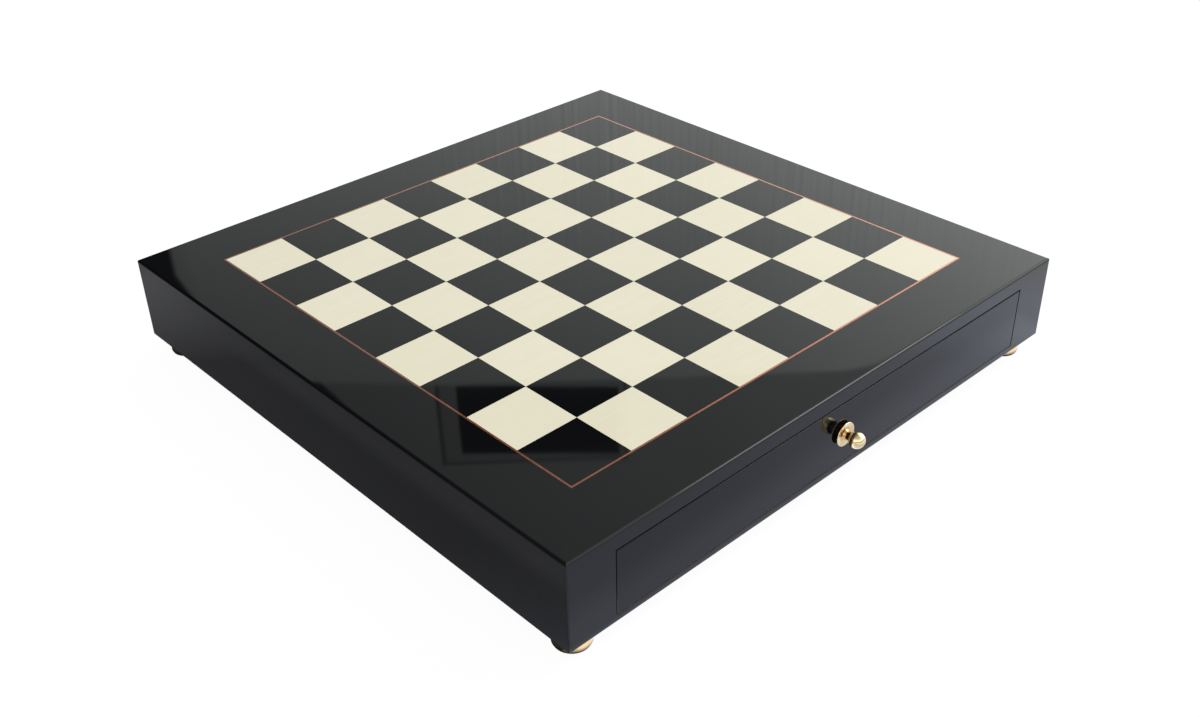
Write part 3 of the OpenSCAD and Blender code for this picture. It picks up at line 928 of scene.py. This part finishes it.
# Window above the backdrop: its frame's edge, its frame and its dark pane, as left, right, bottom and top
# edges, the slope of the last two and the share of the tone around it
WINDOW = (
    (-0.118, 0.055, 0.0, 0.7555, 0.0, 0.4),
    (-0.114, 0.052, 0.0, 0.7525, 0.0, 0.82),
    (-0.099, 0.0475, 0.6725, 0.747, 0.05, 0.05),
)


def heading_tone(shader, x, y, z):
    """Tone by heading, with the backdrop's folds and the dark room low behind the camera."""
    heading = shader.math("DEGREES", shader.math("ARCTAN2", x, y))
    tone = shader.ramp(heading, -180, 180, STUDIO_TONES, TONE_LIMIT)
    low = shader.step(z, HORIZON_TOP, -HORIZON_BLUR)
    behind = shader.math("MULTIPLY", shader.math("LESS_THAN", y, BEHIND), low)
    tone = shader.blend(behind, tone, HORIZON_TONE)
    waves = shader.noise(shader.join(heading, 0.0, 0.0), FOLDS_PER_DEGREE, 1.0)
    folds = shader.span(waves, *NOISE_SPAN, *FOLDS)
    folded = shader.math("MULTIPLY", shader.span(heading, *FOLDS_FROM), shader.span(z, *FOLDS_TOP))
    return shader.math("MULTIPLY", tone, shader.blend(folded, 1.0, folds))


def backdrop_tone(shader, tone, z):
    """Tone of the backdrop, which falls with the elevation."""
    raised = shader.math("SUBTRACT", shader.math("MAXIMUM", z, BACKDROP_FOOT), BACKDROP_LEVEL)
    fall = shader.math("MULTIPLY", raised, -BACKDROP_FALL)
    lower = shader.math("MULTIPLY", tone, shader.math("EXPONENT", fall))
    return shader.math("MINIMUM", lower, TONE_LIMIT)


def upper_tone(shader, tone, across, height):
    """Tone of the wall above the backdrop, with its window."""
    plain = shader.math("MULTIPLY", tone, shader.span(across, *UPPER_TURN, *UPPER_SHARES))
    upper = plain
    for left, right, bottom, top, slope, share in WINDOW:
        level = shader.math("SUBTRACT", height, shader.math("MULTIPLY", across, slope))
        inside = shader.math(
            "MULTIPLY",
            shader.between(across, left, right, HALF_BLUR),
            shader.between(level, bottom, top, HALF_BLUR),
        )
        upper = shader.blend(inside, upper, shader.math("MULTIPLY", plain, share))
    return upper


def above_backdrop(shader, across, height):
    """1 above the backdrop's top, which sags at the left and bends down at the right."""
    bend_start, bend_end = BACKDROP_BEND
    bend = shader.span(across, bend_start, bend_end, 0.0, bend_end - bend_start)
    bow = shader.math("MULTIPLY", shader.math("MULTIPLY", bend, bend), BACKDROP_BOW)
    sag = shader.math("MINIMUM", shader.math("SUBTRACT", across, BACKDROP_SAG_FROM), 0.0)
    bow = shader.math("MULTIPLY_ADD", sag, -BACKDROP_SAG, bow)
    above = shader.step(shader.math("ADD", height, bow), BACKDROP_TOP, EDGE_BLUR)
    return shader.math("MULTIPLY", above, shader.math("LESS_THAN", across, BACKDROP_RIGHT))


def dark_share(shader, above, across, height):
    """1 beyond the sloping ceiling's edge and left of the leaning edge of the dark left."""
    ceiling_edge = shader.math("MULTIPLY_ADD", across, SLOPE, SLOPE_START)
    over = shader.step(shader.math("SUBTRACT", height, ceiling_edge), 0.0, EDGE_BLUR)
    over = shader.math("MULTIPLY", over, shader.math("LESS_THAN", across, SLOPE_END))
    sloping = shader.math("MULTIPLY", over, above)
    lean = shader.math("MAXIMUM", shader.math("SUBTRACT", height, DARK_LEAN_START), 0.0)
    beside = shader.step(shader.math("MULTIPLY_ADD", lean, -DARK_LEAN, across), DARK_LEFT, -EDGE_BLUR)
    return shader.math("MAXIMUM", sloping, beside)


def studio_tone(shader):
    """Tone of the studio by direction: a backdrop with a window above it, and dark at its left and above."""
    x, y, z = shader.parts(shader.add("TexCoord").outputs["Generated"])
    sine, cosine = math.sin(BACKDROP_HEADING), math.cos(BACKDROP_HEADING)
    ahead = shader.math("ADD", shader.math("MULTIPLY", x, sine), shader.math("MULTIPLY", y, cosine))
    aside = shader.math("SUBTRACT", shader.math("MULTIPLY", x, cosine), shader.math("MULTIPLY", y, sine))
    facing = shader.math("GREATER_THAN", ahead, LEAST_AHEAD)
    ahead = shader.math("MAXIMUM", ahead, LEAST_AHEAD)
    across = shader.math("DIVIDE", aside, ahead)
    height = shader.math("DIVIDE", z, ahead)

    tone = heading_tone(shader, x, y, z)
    above = shader.math("MULTIPLY", above_backdrop(shader, across, height), facing)
    lower = backdrop_tone(shader, tone, z)
    tone = shader.blend(above, lower, upper_tone(shader, tone, across, height))
    dark = shader.math("MULTIPLY", dark_share(shader, above, across, height), facing)
    overhead = shader.span(z, *OVERHEAD, 0.0, OVERHEAD_TONE)
    return shader.math("MAXIMUM", shader.blend(dark, tone, DARK_TONE), overhead)


def add_world():
    """White behind the object, which metal, glass and gloss see with the tones of a studio."""
    world = bpy.data.worlds.new("studio")
    bpy.context.scene.world = world
    world.use_nodes = True
    shader = Shader(world.node_tree)
    rays = shader.add("LightPath").outputs
    ambient = shader.add("Background", {"Color": WHITE, "Strength": AMBIENT})
    behind = shader.add("Background", {"Color": WHITE, "Strength": 1.0})
    studio = shader.add("Background", {"Color": STUDIO_TINT, "Strength": studio_tone(shader)})
    seen = shader.add("MixShader", {0: rays["Is Camera Ray"]})
    shader.put(seen.inputs[1], ambient.outputs[0])
    shader.put(seen.inputs[2], behind.outputs[0])
    mirrored = shader.math("ADD", rays["Is Glossy Ray"], rays["Is Transmission Ray"], clamp=True)
    mixed = shader.add("MixShader", {0: mirrored})
    shader.put(mixed.inputs[1], seen.outputs[0])
    shader.put(mixed.inputs[2], studio.outputs[0])
    output = shader.add("OutputWorld")
    shader.put(output.inputs["Surface"], mixed.outputs[0])


def add_lamp(name, heading, elevation, size, watts, mirrored):
    """Soft round lamp that shines at the origin."""
    data = bpy.data.lights.new(name, "AREA")
    data.shape = "DISK"
    data.size = size
    data.energy = watts
    lamp = bpy.data.objects.new(name, data)
    bpy.context.scene.collection.objects.link(lamp)
    level = math.cos(math.radians(elevation))
    turn = math.radians(heading)
    towards = Vector((math.sin(turn) * level, math.cos(turn) * level, math.sin(math.radians(elevation))))
    lamp.location = towards * LAMP_DISTANCE
    lamp.rotation_mode = "QUATERNION"
    lamp.rotation_quaternion = towards.to_track_quat("Z", "Y")
    lamp.visible_glossy = mirrored
    lamp.visible_camera = False


# ---- Making ----

add_camera()
add_world()
for lamp in LAMPS:
    add_lamp(*lamp)
add_floor()
finish_nodes()

green_felt = felt("green_felt_fibres", *GREEN_FELT)
for drawer in DRAWERS:
    add_lining(drawer, green_felt)
dark_felt = felt("dark_felt_fibres", *DARK_FELT)
for corner in CORNERS:
    add_pad(corner, dark_felt)

bpy.context.scene.view_settings.view_transform = "Standard"
